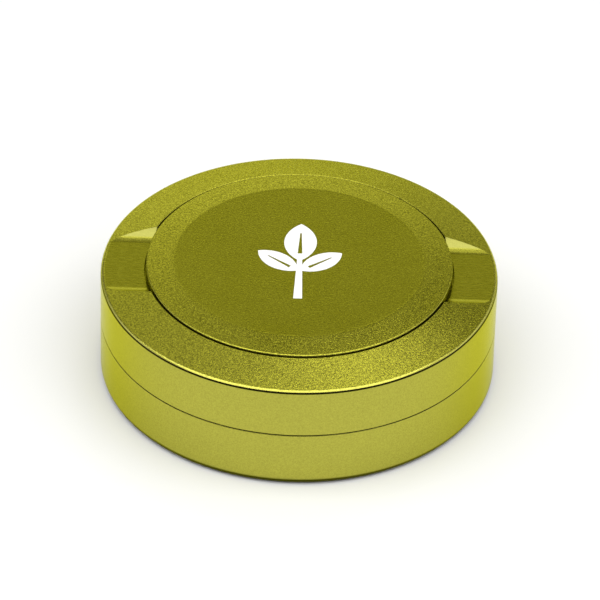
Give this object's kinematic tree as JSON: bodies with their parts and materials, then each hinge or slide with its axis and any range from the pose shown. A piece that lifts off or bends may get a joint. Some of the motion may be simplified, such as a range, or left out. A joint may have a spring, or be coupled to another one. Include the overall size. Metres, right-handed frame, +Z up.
{
  "type": "herb grinder",
  "caption": "Flat round hand grinder: a toothed centre lid and turning top ring over a perforated toothed plate and a collection cup.",
  "frame": {"origin": "centre of the flat underside, on the axis that the top ring turns about", "axes": "+Z up along the turning axis; +X out through the middle of one finger notch; +Y towards the top of the mark on the lid"},
  "size_m": [0.063, 0.063, 0.0203],
  "materials": {
    "anodised_shell": "fine bead-blasted, olive-green anodised, satin",
    "glide_polymer": "turned, waxy, natural white",
    "seal_rubber": "smooth black elastomer",
    "magnet_nickel": "nickel plated, slightly scuffed",
    "dowel_steel": "ground",
    "mark_white": "white filled, satin"
  },
  "bodies": {
    "base": {"base_cup": "anodised_shell"},
    "plate": {"grinding_plate": "anodised_shell", "plate_seal": "seal_rubber", "plate_magnet": "magnet_nickel"},
    "glide": {"glide_ring": "glide_polymer"},
    "top": {"top_ring": "anodised_shell", "drive_dowel_1": "dowel_steel", "drive_dowel_2": "dowel_steel", "drive_dowel_3": "dowel_steel", "drive_dowel_4": "dowel_steel"},
    "lid": {"centre_lid": "anodised_shell", "lid_seal": "seal_rubber", "lid_magnet": "magnet_nickel", "lid_mark": "mark_white"}
  },
  "joints": [
    {"name": "top_lift", "type": "slide", "parent": "base", "child": "glide", "axis": [0, 0, 1], "range_m": [0, 0.045]},
    {"name": "top_turn", "type": "hinge", "parent": "glide", "child": "top", "pos_m": [0, 0, 0.012], "axis": [0, 0, 1], "continuous": true},
    {"name": "lid_lift", "type": "slide", "parent": "top", "child": "lid", "axis": [0, 0, 1], "range_m": [0, 0.04]},
    {"name": "plate_lift", "type": "slide", "parent": "base", "child": "plate", "axis": [0, 0, 1], "range_m": [0, 0.02025]}
  ],
  "couplings": [
    {"joint": "plate_lift", "follows": "top_lift", "ratio": 0.45}
  ]
}
